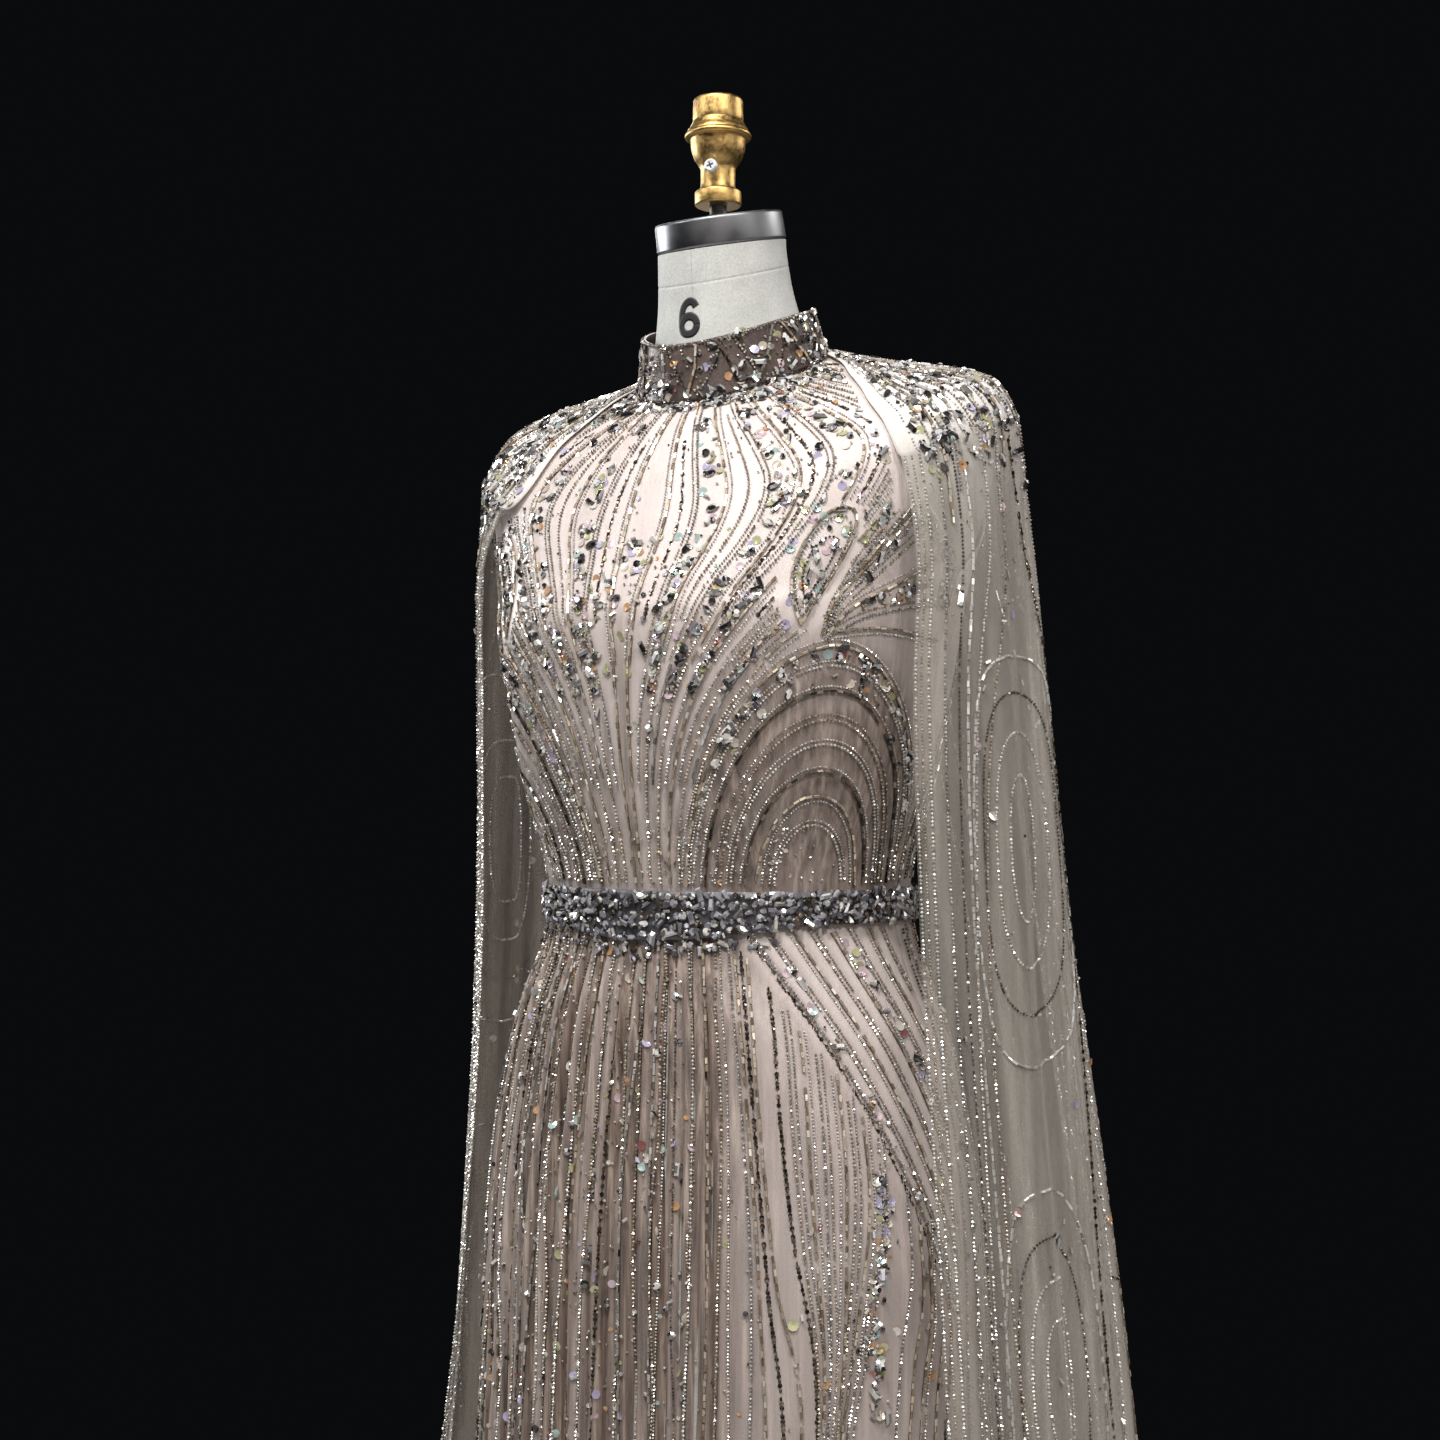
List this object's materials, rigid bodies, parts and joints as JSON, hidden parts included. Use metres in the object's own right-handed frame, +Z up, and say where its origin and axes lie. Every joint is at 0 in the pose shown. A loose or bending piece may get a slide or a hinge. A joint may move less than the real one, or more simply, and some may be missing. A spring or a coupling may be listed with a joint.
{
  "type": "evening gown on dress form",
  "caption": "Floor-length beaded evening gown with a stand collar, crystal belt and open cape sleeves, worn on a limbless dress form with a round base.",
  "frame": {"origin": "on the floor under the middle of the stand's round base", "axes": "+Z up, -Y towards the front of the gown, +X towards the wearer's left"},
  "size_m": [0.6756, 0.5492, 1.6176],
  "materials": {
    "gown_tulle": "blush satin under beaded champagne tulle",
    "cape_tulle": "sheer champagne tulle with bead lines",
    "collar_beaded": "mauve-taupe tulle packed with crystals",
    "belt_crystal": "faceted clear and grey crystals in metal cups",
    "bead_metal": "champagne and gunmetal glass beads",
    "zip_tape": "plain woven tape",
    "form_linen": "off-white linen cover",
    "form_chrome": "dark polished chrome",
    "finial_gold": "gold paint, slightly worn",
    "screw_steel": "bright",
    "stand_metal": "satin black"
  },
  "bodies": {
    "root": {"collar": "collar_beaded", "bodice_front": "gown_tulle", "bodice_back_left": "gown_tulle", "bodice_back_right": "gown_tulle", "back_zip": "zip_tape", "waist_belt": "belt_crystal", "skirt_front": "gown_tulle", "skirt_back_left": "gown_tulle", "skirt_back_right": "gown_tulle", "cape_left": "cape_tulle", "cape_right": "cape_tulle", "form_torso": "form_linen", "form_neck_cap": "form_chrome", "form_rod": "form_chrome", "form_finial": "finial_gold", "form_finial_screw": "screw_steel", "stand_pole": "stand_metal", "stand_base": "stand_metal"}
  },
  "joints": []
}
